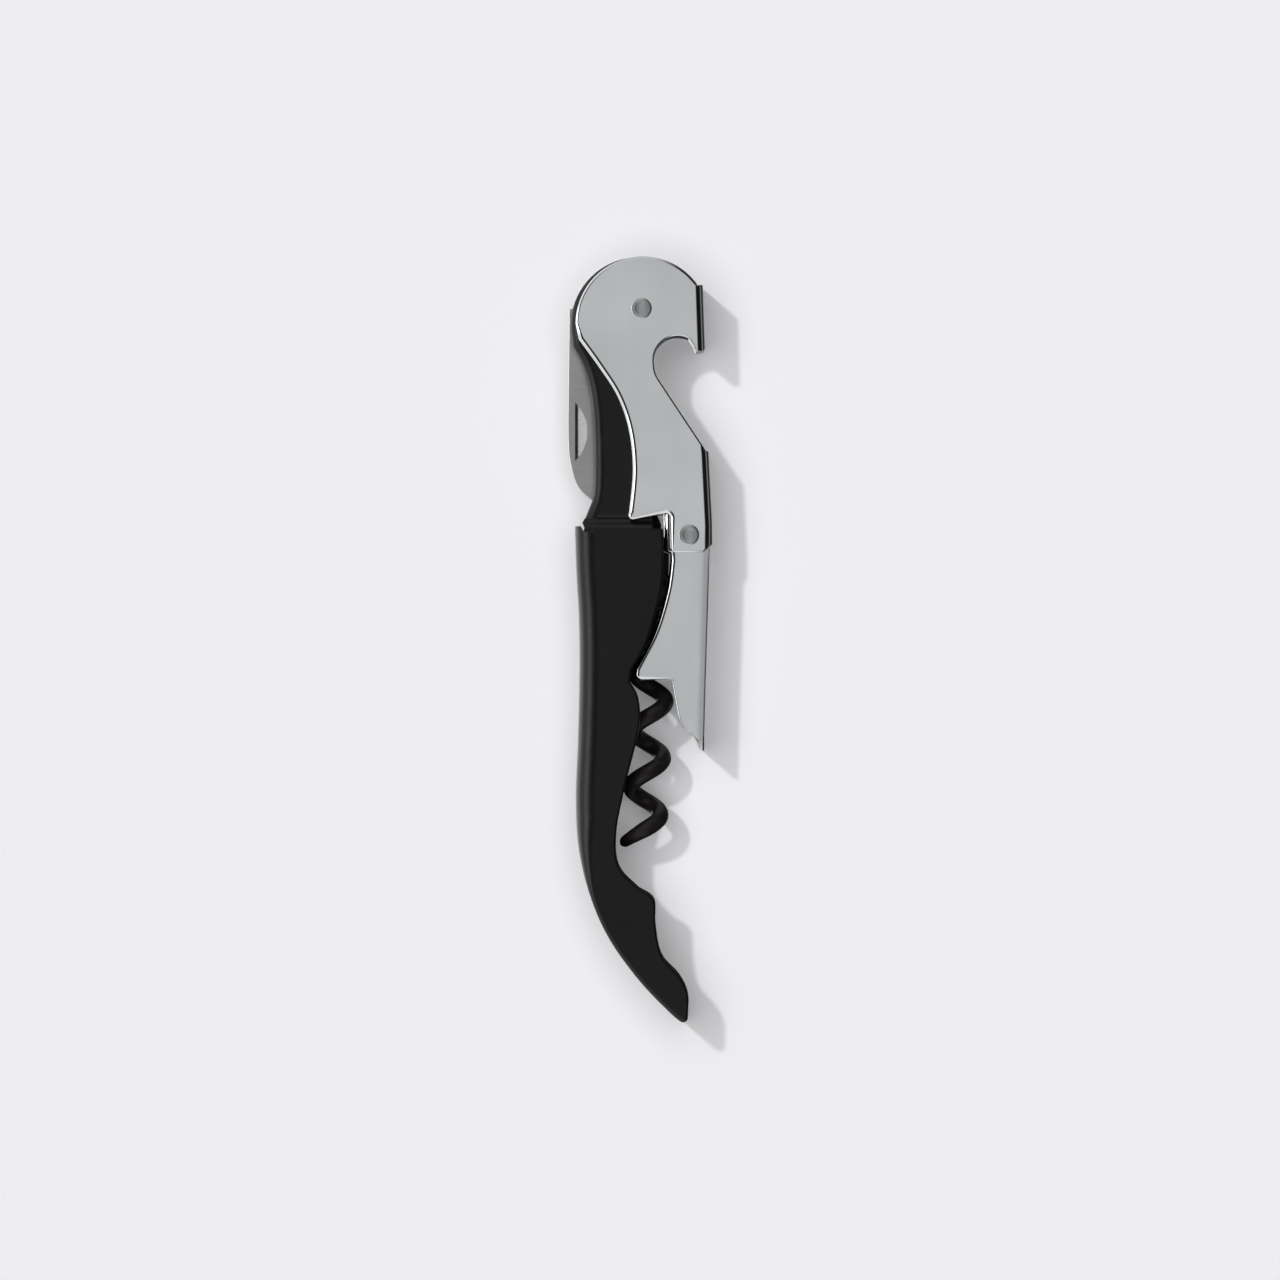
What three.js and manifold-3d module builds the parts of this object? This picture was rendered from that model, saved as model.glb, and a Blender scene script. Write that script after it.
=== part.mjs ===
// Waiters corkscrew with a two-step lever, lying folded on its side. Millimetres.
//
// Every outline is drawn in plan about the head rivet's axis: +X towards the levers, +Y from
// the tail towards the head, Z across the thickness with 0 on the middle plane. The whole group
// is then shifted, so that the part stands on Z = 0 with its plan centred on the origin.
import * as THREE from "three";
import { mergeVertices } from "three/addons/utils/BufferGeometryUtils.js";
import Module from "manifold-3d";

const wasm = await Module();
wasm.setup();

// ---------------------------------------------------------------- driving dimensions
const SHEET = 0.9; // thickness of every folded sheet
const LAYER_GAP = 0.15; // running gap between nested sheets
const WIDE_HALF = 6.4; // half thickness of the handle's body and the upper lever
const NARROW_HALF = WIDE_HALF - SHEET - LAYER_GAP; // half thickness of the neck and the arm
const NARROW_INNER = NARROW_HALF - SHEET; // half of the clear width inside them
const REACH = 40; // length by which a cutting solid runs past the part

const SPINE_FOLD = 2.5; // outside radius of the handle's fold
const NECK_EDGE = 1.2; // rounding of the neck's back edges
const LEVER_FOLD = 1.1; // outside radius of the upper lever's folds
const ARM_FOLD = 1.0; // outside radius of the lower arm's folds
const FOLD_STEPS = 3;

const HEAD_CENTRE = [-0.31, -2.66]; // centre of the handle's round head
const HEAD_RADIUS = 10.85;
const PIVOT_LOBE = 8.17; // handle's head beyond the rivet, inside the lever's hook
const DISC_CENTRE = [0.23, -2.35]; // centre of the upper lever's round head
const DISC_RADIUS = 10.5;
const CAP_CENTRE = [5.71, -8.06]; // centre of the cap lifter's notch
const CAP_RADIUS = 3.75;

const WORM_PIN_AT = [0.63, -29.3];
const LINK_AT = [7.43, -35.45];
const PIN_RADIUS = 1.25; // shank of all rivets and pins
const RUNNING_GAP = 0.05; // radial gap of a shank in its hole
const HEAD_OF_RIVET = 1.65; // radius of a formed rivet head
const HEAD_RISE = 0.3;
const SIDE_GAP = 0.05; // gap on each side of a piece held between two others

const BLADE_HALF = 0.6; // half thickness of the knife
const TANG_RADIUS = 5.6;
const SPACER_RADIUS = 2.6;

const WORM_RADIUS = 3.7; // outside radius of the helix
const WORM_WIRE = 1.3; // radius of its wire
const WORM_PITCH = 8.92;
const WORM_TOP = [2.35, -40.4]; // axis of the helix, where the first full turn starts
const WORM_TIP = [0.4, -83.9]; // axis of the helix, level with its tip
const EYE_RADIUS = 3.0;
const EYE_HALF = 1.5;

const SHOULDER_LOW = -34.3; // below this the handle has its full thickness
const SHOULDER_HIGH = -33.2; // above this it is the narrow neck
const SPINE_TOP = -34.1; // top end of the folded spine
const HEEL_CLEAR_X = 1.7; // the neck stops here, clear of the lower arm's swinging heel
const BACK_STRIP = 0.85; // how far the back wall reaches past the front one, beside the levers

const LEVER_WEB_END = -35.2; // lower end of the upper lever's web
const ARM_TOP = -37.56; // top of the lower arm's web
const HEEL_LIP_HALF = 3.4; // the heel's turned-in lips stop this far from the middle

// ---------------------------------------------------------------- plan curves
const degrees = (angle) => (angle * Math.PI) / 180;
const onCircle = ([x, y], radius, angle) => [
  x + radius * Math.cos(degrees(angle)),
  y + radius * Math.sin(degrees(angle)),
];

// Points of an arc, from one angle to the other, in the direction that the angles run.
function arc(centre, radius, from, to, steps = Math.ceil(Math.abs(to - from) / 12)) {
  return Array.from({ length: steps + 1 }, (_, i) =>
    onCircle(centre, radius, from + ((to - from) * i) / steps),
  );
}

// A smooth curve through the points, at about the given spacing.
function smooth(points, spacing = 2.2) {
  const curve = new THREE.SplineCurve(points.map(([x, y]) => new THREE.Vector2(x, y)));
  const count = Math.max(2, Math.round(curve.getLength() / spacing));
  return curve.getSpacedPoints(count).map((p) => [p.x, p.y]);
}

// A rounded corner between the points before and after it.
function round(before, corner, after, radius, steps = 3) {
  const c = new THREE.Vector2(...corner);
  const a = new THREE.Vector2(...before).sub(c).normalize();
  const b = new THREE.Vector2(...after).sub(c).normalize();
  const cut = radius / Math.tan(a.angleTo(b) / 2);
  const curve = new THREE.QuadraticBezierCurve(
    a.clone().multiplyScalar(cut).add(c),
    c,
    b.clone().multiplyScalar(cut).add(c),
  );
  return curve.getPoints(steps).map((p) => [p.x, p.y]);
}

// ---------------------------------------------------------------- solids
function toSolid(geometry) {
  const bare = geometry.index ? geometry.toNonIndexed() : geometry.clone();
  bare.deleteAttribute("normal");
  bare.deleteAttribute("uv");
  const merged = mergeVertices(bare, 1e-4);
  return new wasm.Manifold(
    new wasm.Mesh({
      numProp: 3,
      vertProperties: merged.attributes.position.array,
      triVerts: new Uint32Array(merged.index.array),
    }),
  );
}

function toGeometry(solid) {
  const mesh = solid.getMesh();
  const geometry = new THREE.BufferGeometry();
  geometry.setAttribute("position", new THREE.BufferAttribute(mesh.vertProperties, 3));
  geometry.setIndex(new THREE.BufferAttribute(mesh.triVerts, 1));
  geometry.computeVertexNormals();
  return geometry;
}

const shapeOf = (points) => new THREE.Shape(points.map(([x, y]) => new THREE.Vector2(x, y)));

// The outline carried straight across the thickness, between two heights.
function slab(points, low, high) {
  const geometry = new THREE.ExtrudeGeometry(shapeOf(points), {
    depth: high - low,
    bevelEnabled: false,
  });
  return toSolid(geometry.translate(0, 0, low));
}

const plate = (points, half) => slab(points, -half, half);

// The outline with its edges rounded over at both faces, set in by a margin all round.
function rounded(points, half, radius, margin = 0) {
  const geometry = new THREE.ExtrudeGeometry(shapeOf(points), {
    depth: 2 * (half - radius),
    bevelEnabled: true,
    bevelThickness: radius,
    bevelSize: radius,
    bevelOffset: -radius - margin,
    bevelSegments: FOLD_STEPS,
  });
  return toSolid(geometry.translate(0, 0, radius - half));
}

// The solid outside and the hollow inside of a sheet folded along the outline's edge.
function folded(points, half, radius) {
  return {
    outside: rounded(points, half, radius),
    inside: rounded(points, half - SHEET, Math.max(radius - SHEET, 0.1), SHEET),
  };
}

const box = (x0, x1, y0, y1, half) =>
  plate([[x0, y0], [x1, y0], [x1, y1], [x0, y1]], half);

// A profile in the Y-Z plane, mirrored about the middle plane and carried along X.
function along(profile) {
  const mirrored = [...profile, ...profile.map(([y, z]) => [y, -z]).reverse()];
  const geometry = new THREE.ExtrudeGeometry(shapeOf(mirrored), {
    depth: 2 * REACH,
    bevelEnabled: false,
  });
  const axes = new THREE.Matrix4().makeBasis(
    new THREE.Vector3(0, 1, 0),
    new THREE.Vector3(0, 0, 1),
    new THREE.Vector3(1, 0, 0),
  );
  return toSolid(geometry.translate(0, 0, -REACH).applyMatrix4(axes));
}

// A closed profile of [radius, height] pairs turned about an axis across the thickness.
function turned(profile, [x, y], segments = 24) {
  const points = profile.map(([radius, height]) => new THREE.Vector2(radius, height));
  const geometry = new THREE.LatheGeometry(points, segments);
  return toSolid(geometry.rotateX(Math.PI / 2).translate(x, y, 0));
}

const shaft = (at, radius, half) =>
  turned([[0, -half], [radius, -half], [radius, half], [0, half]], at);

const pinHole = (at) => shaft(at, PIN_RADIUS + RUNNING_GAP, WIDE_HALF + 1);

function bush(at, outer, low, high) {
  const inner = PIN_RADIUS + RUNNING_GAP;
  return turned([[inner, low], [outer, low], [outer, high], [inner, high], [inner, low]], at);
}

// ---------------------------------------------------------------- handle
const SPINE = smooth(
  [
    [-10.41, -34.1],
    [-10.2, -41],
    [-9.78, -48.8],
    [-9.7, -57],
    [-9.94, -67.6],
    [-10.27, -77],
    [-9.78, -84.8],
    [-7.95, -92.2],
    [-5.0, -98.8],
    [-0.31, -105.3],
    [4.38, -110.2],
    [6.6, -112.05],
  ],
  3,
);
const NECK_BACK = smooth([
  [-9.25, -33.6],
  [-8.37, -31.6],
  [-7.5, -28.5],
  [-7.45, -20.5],
  [-7.98, -13.6],
  [-9.2, -8.9],
  [-10.75, -5.95],
]);
const HEAD_BACK = arc(HEAD_CENTRE, HEAD_RADIUS, 190, 90);
const LEVER_SIDE = smooth(
  [
    [3.3, -34.45],
    [3.52, -38],
    [3.13, -44.1],
    [0.94, -52],
    [-1.5, -56.5],
  ],
  2.5,
);
const GRIP_SIDE = smooth([
  [-1.5, -58.9],
  [-0.39, -61.3],
  [-0.39, -66],
  [-2.66, -75.4],
  [-3.95, -82.5],
  [-3.44, -87.5],
  [-0.31, -90.9],
]);
const TAIL_SIDE = smooth(
  [
    [0.94, -91.55],
    [2.15, -92.9],
    [2.25, -96.5],
    [3.2, -101.3],
    [5.95, -104.5],
    [7.3, -107.2],
    [7.36, -109.5],
  ],
  1.8,
);

function handle() {
  const spineSweep = [...SPINE, [16, -119], [REACH, -119], [REACH, 0], [-10.41, 0]];
  const body = folded(spineSweep, WIDE_HALF, SPINE_FOLD);
  const bodyPlan = [
    [-14, SPINE_TOP],
    [-14, -118],
    [4, -118],
    [5.0, -112.75],
    ...round([4.38, -110.2], [7.25, -112.6], [7.36, -109.5], 0.75),
    ...TAIL_SIDE.slice().reverse(),
    ...GRIP_SIDE.slice().reverse(),
    [-1.8, -58.3],
    ...LEVER_SIDE.slice().reverse(),
    [HEEL_CLEAR_X, -34.45],
    [HEEL_CLEAR_X, SPINE_TOP],
  ];
  const neckPlan = [
    ...NECK_BACK,
    ...HEAD_BACK,
    ...arc([0, 0], PIVOT_LOBE, 84, -19),
    ...smooth([
      [5.6, -3.5],
      [3.0, -4.6],
      [1.2, -8.3],
      [1.6, -11],
      [3.6, -15],
      [5.2, -18.7],
      [5.4, -26],
      [4.6, -29.6],
      [HEEL_CLEAR_X, -31.6],
    ]),
    [HEEL_CLEAR_X, -33.4],
  ];
  const neckSweep = [...NECK_BACK, ...HEAD_BACK, [REACH, HEAD_RADIUS], [REACH, -33.6]];
  const shoulderPlan = [
    [-9.25, -33.6],
    [-9.1, -34.6],
    [HEEL_CLEAR_X, -34.6],
    [HEEL_CLEAR_X, -33],
    [-8.9, -33],
  ];
  const shoulder = [
    [-60, WIDE_HALF],
    [SHOULDER_LOW, WIDE_HALF],
    [SHOULDER_HIGH, NARROW_HALF],
    [0, NARROW_HALF],
  ];
  const shoulderHollow = [
    [-130, WIDE_HALF - SHEET],
    [SHOULDER_LOW - 0.1, WIDE_HALF - SHEET],
    [SHOULDER_HIGH - 0.1, NARROW_INNER],
    [20, NARROW_INNER],
  ];
  const backStrip = [
    ...LEVER_SIDE.map(([x, y]) => [x - 0.4, y]),
    ...LEVER_SIDE.map(([x, y]) => [x + BACK_STRIP, y]).reverse(),
  ];
  const relief = plate([[-9.6, -33.9], [-9.0, -34.95], [-8.9, -34.3], [-9.3, -33.5]], WIDE_HALF + 1);
  const neck = rounded(neckSweep, NARROW_HALF, NECK_EDGE).intersect(plate(neckPlan, WIDE_HALF));
  const ramp = plate(shoulderPlan, WIDE_HALF).intersect(along(shoulder));
  const openBack = box(-REACH, REACH, SPINE_TOP, REACH, WIDE_HALF);
  const hollow = body.inside.add(openBack).intersect(along(shoulderHollow));
  return body.outside
    .intersect(plate(bodyPlan, WIDE_HALF))
    .add(slab(backStrip, -WIDE_HALF, SHEET - WIDE_HALF))
    .add(ramp)
    .add(neck)
    .subtract(hollow)
    .subtract(relief)
    .subtract(pinHole([0, 0]))
    .subtract(pinHole(WORM_PIN_AT));
}

// ---------------------------------------------------------------- upper lever
const LEVER_WEB = [[9.55, 12], [9.62, 3.68], [10.56, -23], [11.1, -34], [11.2, -45]];

function upperLever() {
  const sheet = folded([...LEVER_WEB, [-REACH, -45], [-REACH, 12]], WIDE_HALF, LEVER_FOLD);
  const plan = [
    ...arc(DISC_CENTRE, DISC_RADIUS, 180, 35).reverse(),
    ...smooth([
      [-9.8, -4.9],
      [-6.57, -9.39],
      [-3.76, -13.9],
      [-2.0, -19.2],
      [-1.41, -25.4],
      [-2.11, -32.3],
    ]),
    ...round([-2.11, -32.3], [-2.2, -33.3], [3.76, -32.2], 0.6),
    ...round([-2.2, -33.3], [4.4, -32.05], [4.77, -38.18], 0.7),
    ...round([4.46, -33], [4.77, -38.18], [11, -38.18], 0.25, 2),
    [9.7, -38.18],
    [11, -37.0],
    [12.5, -36.6],
    [12.5, -22.5],
    ...round([12.5, -22.5], [10.2, -22.4], [2.82, -11.27], 0.4, 2),
    ...smooth([[2.82, -11.27], [2.2, -10.1], [1.97, -8.6]], 1),
    ...arc(CAP_CENTRE, CAP_RADIUS, 175, 62),
    [8.14, -5.8],
    ...round([8.14, -5.8], [8.5, -6.8], [9.9, -6.7], 0.25, 2),
    ...round([8.5, -6.8], [9.95, -6.6], [9.95, -5.4], 0.5),
    [12.5, -5.3],
    [12.5, 3.68],
  ];
  const tooth = [[7.4, -4.6], [9.8, -4.6], [9.8, -7], [7.4, -7]];
  const belowWeb = box(-REACH, REACH, -REACH - 5, LEVER_WEB_END, WIDE_HALF - SHEET);
  const hollow = sheet.inside.add(belowWeb).subtract(plate(tooth, WIDE_HALF - 2 * SHEET));
  return sheet.outside
    .intersect(plate(plan, WIDE_HALF))
    .subtract(hollow)
    .subtract(pinHole([0, 0]))
    .subtract(pinHole(LINK_AT));
}

// ---------------------------------------------------------------- lower arm
const ARM_WEB = [
  [10.74, -30],
  [10.7, -37.56],
  [10.49, -45.7],
  [10.09, -58.2],
  [9.86, -66.8],
  [9.8, -75],
];

function lowerArm() {
  const web = folded([...ARM_WEB, [-REACH, -75], [-REACH, -30]], NARROW_HALF, ARM_FOLD);
  const heelSweep = [[3.1, -20], [3.62, -41], [REACH, -41], [REACH, -20]];
  const heel = folded(heelSweep, NARROW_HALF, ARM_FOLD);
  const plan = [
    ...round([6.4, -31.5], [3.2, -31.5], [3.5, -38], 1.1),
    [3.52, -38.0],
    [4.54, -38.4],
    ...smooth([
      [4.54, -39.4],
      [3.91, -44.1],
      [2.1, -50.3],
      [-0.31, -55.1],
      [-1.0, -56.4],
    ]),
    ...round([-0.31, -55.1], [-1.6, -58.3], [4.07, -58.06], 1.0),
    ...round([0.31, -58.4], [4.7, -57.95], [5.2, -60], 0.6),
    ...smooth([[5.32, -61.35], [5.95, -64.4], [6.73, -65.9], [7.82, -66.6]], 1.5),
    [8.8, -68.1],
    [9.0, -68.9],
    [9.7, -69.3],
    [12, -69.0],
    [12, ARM_TOP],
    [LINK_AT[0] + 1.6, ARM_TOP],
    ...arc(LINK_AT, 2.6, -50, 50),
    ...arc(LINK_AT, 4.0, 82, 104),
  ];
  const belowHeel = box(-REACH, REACH, -80, -38, NARROW_HALF);
  const outside = web.outside.intersect(heel.outside.add(belowHeel)).intersect(plate(plan, NARROW_HALF));
  const lipSlot = box(2, 5.4, -39, -30, HEEL_LIP_HALF);
  const overWeb = box(4.6, REACH, ARM_TOP, -30, NARROW_INNER);
  const hollow = web.inside.intersect(heel.inside.add(belowHeel)).add(lipSlot).add(overWeb);
  return outside.subtract(hollow).subtract(pinHole(LINK_AT));
}

// ---------------------------------------------------------------- knife
function knifeBlade() {
  const plan = [
    ...smooth([
      [-11.3, 0.0],
      [-11.45, -11.3],
      [-11.5, -19.5],
      [-11.2, -23.8],
      [-9.9, -27.9],
      [-6.9, -30.7],
    ]),
    ...smooth([
      [-5.5, -29.3],
      [-5.0, -24],
      [-5.2, -14],
      [-7.2, -10.4],
      [-8.5, -8.6],
      [-8.0, -7.3],
      [-6.6, -6.1],
      [-4.1, -4.4],
    ]),
    ...arc([0, 0], TANG_RADIUS, -128, 148),
    [-9.0, 0.9],
  ];
  const nickFloor = BLADE_HALF - 0.35;
  const nick = arc([-14.85, -19.2], 6.4, 46, -46);
  return plate(plan, BLADE_HALF)
    .subtract(slab(nick.reverse(), nickFloor, BLADE_HALF + 1))
    .subtract(pinHole([0, 0]));
}

// ---------------------------------------------------------------- worm
// A tube swept along the points, closed at both ends, with its own radius at each point.
function sweptTube(path, radiusAt, sides = 8) {
  const frames = path.computeFrenetFrames(path.stations, false);
  const vertices = [];
  const faces = [];
  for (let i = 0; i <= path.stations; i += 1) {
    const centre = path.getPointAt(i / path.stations);
    for (let j = 0; j < sides; j += 1) {
      const turn = (2 * Math.PI * j) / sides;
      const point = centre
        .clone()
        .addScaledVector(frames.normals[i], radiusAt(i / path.stations) * Math.cos(turn))
        .addScaledVector(frames.binormals[i], radiusAt(i / path.stations) * Math.sin(turn));
      vertices.push(point.x, point.y, point.z);
    }
  }
  const ring = (i, j) => i * sides + (j % sides);
  for (let i = 0; i < path.stations; i += 1)
    for (let j = 0; j < sides; j += 1) {
      faces.push(ring(i, j), ring(i, j + 1), ring(i + 1, j + 1));
      faces.push(ring(i, j), ring(i + 1, j + 1), ring(i + 1, j));
    }
  for (let j = 1; j < sides - 1; j += 1) {
    faces.push(ring(0, 0), ring(0, j + 1), ring(0, j));
    faces.push(ring(path.stations, 0), ring(path.stations, j), ring(path.stations, j + 1));
  }
  const geometry = new THREE.BufferGeometry();
  geometry.setAttribute("position", new THREE.Float32BufferAttribute(vertices, 3));
  geometry.setIndex(faces);
  return toSolid(geometry);
}

function worm() {
  const [pinX, pinY] = WORM_PIN_AT;
  const coil = WORM_RADIUS - WORM_WIRE;
  const turns = (WORM_TOP[1] - WORM_TIP[1]) / WORM_PITCH;
  const points = [new THREE.Vector3(pinX, pinY - 1.9, 0), new THREE.Vector3(pinX + 1.2, pinY - 4.6, 0)];
  const steps = Math.round(turns * 10);
  for (let i = 0; i <= steps; i += 1) {
    const share = i / steps;
    // The tip lies at the left of the coil, and the helix is right-handed.
    const angle = Math.PI + 2 * Math.PI * turns * (1 - share);
    const opening = coil * Math.min(1, 0.35 + 6 * share);
    points.push(
      new THREE.Vector3(
        THREE.MathUtils.lerp(WORM_TOP[0], WORM_TIP[0], share) + opening * Math.cos(angle),
        THREE.MathUtils.lerp(WORM_TOP[1], WORM_TIP[1], share),
        -opening * Math.sin(angle),
      ),
    );
  }
  const path = new THREE.CatmullRomCurve3(points);
  path.stations = 66;
  const wire = sweptTube(path, (t) => WORM_WIRE * Math.min(1, 0.12 + (1 - t) * 9));
  return wire.add(shaft(WORM_PIN_AT, EYE_RADIUS, EYE_HALF)).subtract(pinHole(WORM_PIN_AT));
}

// ---------------------------------------------------------------- knife spring
// A leaf that bears on the knife's tang; its lower end is curled round the worm pin and
// slotted for the worm's eye.
function knifeSpring() {
  const half = NARROW_INNER - SIDE_GAP;
  const strip = 0.3; // half thickness of the strip
  const middle = new THREE.SplineCurve(
    [[2.6, -27.6], [3.5, -24.5], [3.2, -19], [1.2, -13], [0.5, -9.5], [-0.1, -6.3]].map(
      ([x, y]) => new THREE.Vector2(x, y),
    ),
  );
  const count = 12;
  const side = (sign) =>
    Array.from({ length: count + 1 }, (_, i) => {
      const point = middle.getPoint(i / count);
      const heading = middle.getTangent(i / count);
      return [point.x - sign * strip * heading.y, point.y + sign * strip * heading.x];
    });
  const leaf = [...side(-1), ...side(1).reverse()];
  const curl = bush(WORM_PIN_AT, PIN_RADIUS + RUNNING_GAP + 2 * strip + 0.2, -half, half);
  const neckJoin = [[1.6, -28.2], [2.2, -29.2], [2.95, -27.6], [2.4, -27.2]];
  return plate(leaf, half)
    .add(plate(neckJoin, half))
    .subtract(pinHole(WORM_PIN_AT))
    .add(curl)
    .subtract(box(-5, 8, -34, -25.6, EYE_HALF + 0.2));
}

// ---------------------------------------------------------------- rivets and pins
function rivet(at, seat) {
  const low = seat + 0.02;
  const high = low + HEAD_RISE;
  const end = [
    [PIN_RADIUS, low],
    [HEAD_OF_RIVET, low],
    [HEAD_OF_RIVET, low + 0.12],
    [HEAD_OF_RIVET - 0.25, high],
    [0.8, high],
    [0.5, high - 0.12],
    [0, high - 0.15],
  ];
  return turned([...end.map(([r, z]) => [r, -z]).reverse(), ...end], at);
}

// ---------------------------------------------------------------- assembly
const finishes = {
  coat: { color: 0x141414, roughness: 0.5, metalness: 0.1 },
  plated: { color: 0xc4c6c8, roughness: 0.16, metalness: 1 },
  blade: { color: 0x9a9c9e, roughness: 0.32, metalness: 1 },
  wormCoat: { color: 0x1b1917, roughness: 0.35, metalness: 0.2 },
  steel: { color: 0x8d9094, roughness: 0.35, metalness: 1 },
};

const part = new THREE.Group();
function addPiece(name, solid, finish) {
  const mesh = new THREE.Mesh(toGeometry(solid), new THREE.MeshStandardMaterial(finishes[finish]));
  mesh.name = name;
  part.add(mesh);
}

const spacerLow = BLADE_HALF + SIDE_GAP;
const spacerHigh = NARROW_INNER - SIDE_GAP;

addPiece("handle", handle(), "coat");
addPiece("upper_lever", upperLever(), "plated");
addPiece("lower_arm", lowerArm(), "plated");
addPiece("knife_blade", knifeBlade(), "blade");
addPiece("worm", worm(), "wormCoat");
addPiece("knife_spring", knifeSpring(), "steel");
addPiece("knife_spacer_front", bush([0, 0], SPACER_RADIUS, spacerLow, spacerHigh), "steel");
addPiece("knife_spacer_back", bush([0, 0], SPACER_RADIUS, -spacerHigh, -spacerLow), "steel");
addPiece("link_bush", bush(LINK_AT, 2.0, -spacerHigh, spacerHigh), "steel");
addPiece("head_rivet", rivet([0, 0], WIDE_HALF), "steel");
addPiece("link_rivet", rivet(LINK_AT, WIDE_HALF), "steel");
addPiece("worm_pin", shaft(WORM_PIN_AT, PIN_RADIUS, NARROW_HALF), "steel");

const bounds = new THREE.Box3().setFromObject(part);
const middle = bounds.getCenter(new THREE.Vector3());
part.position.set(-middle.x, -middle.y, -bounds.min.z);

export default part;
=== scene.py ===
"""The looks of a folding waiters corkscrew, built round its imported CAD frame.

Outlines are in millimetres about the head rivet's axis: u to the right, towards the levers,
v from the tail towards the head, and z across the thickness with 0 on the middle plane.
Each solid is built in those units, and finish_piece() puts it into the frame, in metres.
"""

import math

import bmesh
import bpy
from mathutils import Matrix, Vector


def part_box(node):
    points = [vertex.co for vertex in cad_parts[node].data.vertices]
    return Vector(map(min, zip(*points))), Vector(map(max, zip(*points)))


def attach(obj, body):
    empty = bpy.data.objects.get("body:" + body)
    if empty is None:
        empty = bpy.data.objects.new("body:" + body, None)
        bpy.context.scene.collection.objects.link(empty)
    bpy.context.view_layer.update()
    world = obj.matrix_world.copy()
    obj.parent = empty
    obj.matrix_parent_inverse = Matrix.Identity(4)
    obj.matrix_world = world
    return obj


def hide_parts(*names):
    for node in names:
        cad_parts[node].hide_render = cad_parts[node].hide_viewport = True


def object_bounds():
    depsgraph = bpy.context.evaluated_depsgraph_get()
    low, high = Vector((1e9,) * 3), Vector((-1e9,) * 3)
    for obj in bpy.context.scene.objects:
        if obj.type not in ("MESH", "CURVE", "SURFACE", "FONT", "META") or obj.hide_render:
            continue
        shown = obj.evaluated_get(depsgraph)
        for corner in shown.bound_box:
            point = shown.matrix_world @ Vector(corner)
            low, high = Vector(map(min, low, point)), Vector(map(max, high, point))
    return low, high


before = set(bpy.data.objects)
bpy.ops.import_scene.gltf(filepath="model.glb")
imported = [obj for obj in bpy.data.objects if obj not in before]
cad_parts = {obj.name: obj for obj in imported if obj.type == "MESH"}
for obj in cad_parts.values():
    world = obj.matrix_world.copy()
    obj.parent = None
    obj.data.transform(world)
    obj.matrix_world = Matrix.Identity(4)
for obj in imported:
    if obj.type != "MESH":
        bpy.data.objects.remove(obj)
cad_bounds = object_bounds()

# ---------------------------------------------------------------- driving dimensions, mm
MM = 0.001
RIVET_LOW, RIVET_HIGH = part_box("head_rivet")
ORIGIN = (RIVET_LOW + RIVET_HIGH) / 2

SHEET = 0.9
LAYER_GAP = 0.15
WIDE_HALF = 6.4
NARROW_HALF = WIDE_HALF - SHEET - LAYER_GAP
NARROW_INNER = NARROW_HALF - SHEET
REACH = 40
FOLD_STEPS = 12
EDGE_STEPS = 8
PROUD = 0.001  # how far an edge-rounded plan stands off the faces that it meets
NECK_PROUD = 0.02  # the same, for the neck
BROKEN_EDGE = 0.12  # the small rounding on pins, bushes and the blade
BURR = 0.07
FINE_BURR = 0.03
BURR_ANGLE = 42
SHARP_ANGLE = 38

# A fold or an edge rounding is a quarter ellipse: how far in, and how deep.
SPINE_FOLD = (3.3, 2.5)
NECK_FOLD = (1.7, 1.3)
LEVER_FOLD = (1.25, 1.0)
ARM_FOLD = (1.1, 0.9)
PLATED_EDGE = (0.9, 0.6)
COATED_EDGE = (0.35, 0.35)
FINE_EDGE = 0.3  # share of the plated edge that is left at its finer corners
DISC_EDGE = 0.5
TAIL_EDGE = 0.28  # share of the spine's fold that is left at the tail
SHADE_STRIP = 0.85  # how far a dark strip on the back wall reaches past the front one, beside the levers: painted shade, a black sheet where the gap shows only shadow
STRIP_OVERLAP = 0.4  # how far that strip runs into the wall, to join it

HEAD_CENTRE = (-0.31, -2.66)
HEAD_RADIUS = 10.85
PIVOT_LOBE = 8.17
DISC_CENTRE = (0.23, -2.35)
DISC_RADIUS = 10.5
CAP_CENTRE = (5.71, -8.06)
CAP_RADIUS = 3.75

PIVOT_AT = (0, 0)
WORM_PIN_AT = (0.63, -29.3)
LINK_AT = (7.43, -35.45)
PIN_RADIUS = 1.25
HOLE_RADIUS = 1.3
RIVET_HEAD = 1.65
RIVET_SEAT_GAP = 0.02  # between a rivet's head and the lever under it

BLADE_HALF = 0.6
TANG_RADIUS = 5.6
NICK_CENTRE = (-14.85, -19.2)
NICK_RADIUS = 6.4
NICK_DEPTH = 0.75
SERRATIONS = 12
SERRATION_PITCH = 1.15
SERRATION_START = (-4.75, -27.6)

WORM_RADIUS = 3.7
WORM_WIRE = 1.3
WORM_PITCH = 8.92
WORM_TOP = (2.35, -40.4)
WORM_TIP = (0.4, -83.9)
WORM_STEPS = 30  # points of the wire's line in each turn
TOP_OPENING = 0.35  # share of the coil's radius that the wire starts at below the eye
TOP_GROWTH = 6  # how fast that share grows, per share of the wire
TIP_WIRE = 0.42  # share of the wire's thickness that is left at the tip
TIP_GROWTH = 7.0  # how fast that share grows, per share of the wire
TIP_SWING = 0.045  # share of the wire over which its tip swings out
TIP_SWING_OUT = 0.9
TIP_END = 0.0045  # share of the wire over which its tip closes
EYE_RADIUS = 3.0
EYE_HALF = 1.5

SIDE_GAP = 0.05
SPACER_RADIUS = 2.6
LINK_BUSH_RADIUS = 2.0
LEAF_HALF = 0.3
LEAF_STEP = 0.03  # how much narrower each part of the spring is than the last

SHOULDER_LOW = -34.4
SHOULDER_HIGH = -33.0
SPINE_TOP = -34.1
HEEL_CLEAR_U = 1.7
LEVER_WEB_END = -35.2
ARM_TOP = -37.56
HEEL_LIP_HALF = 3.4


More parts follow.
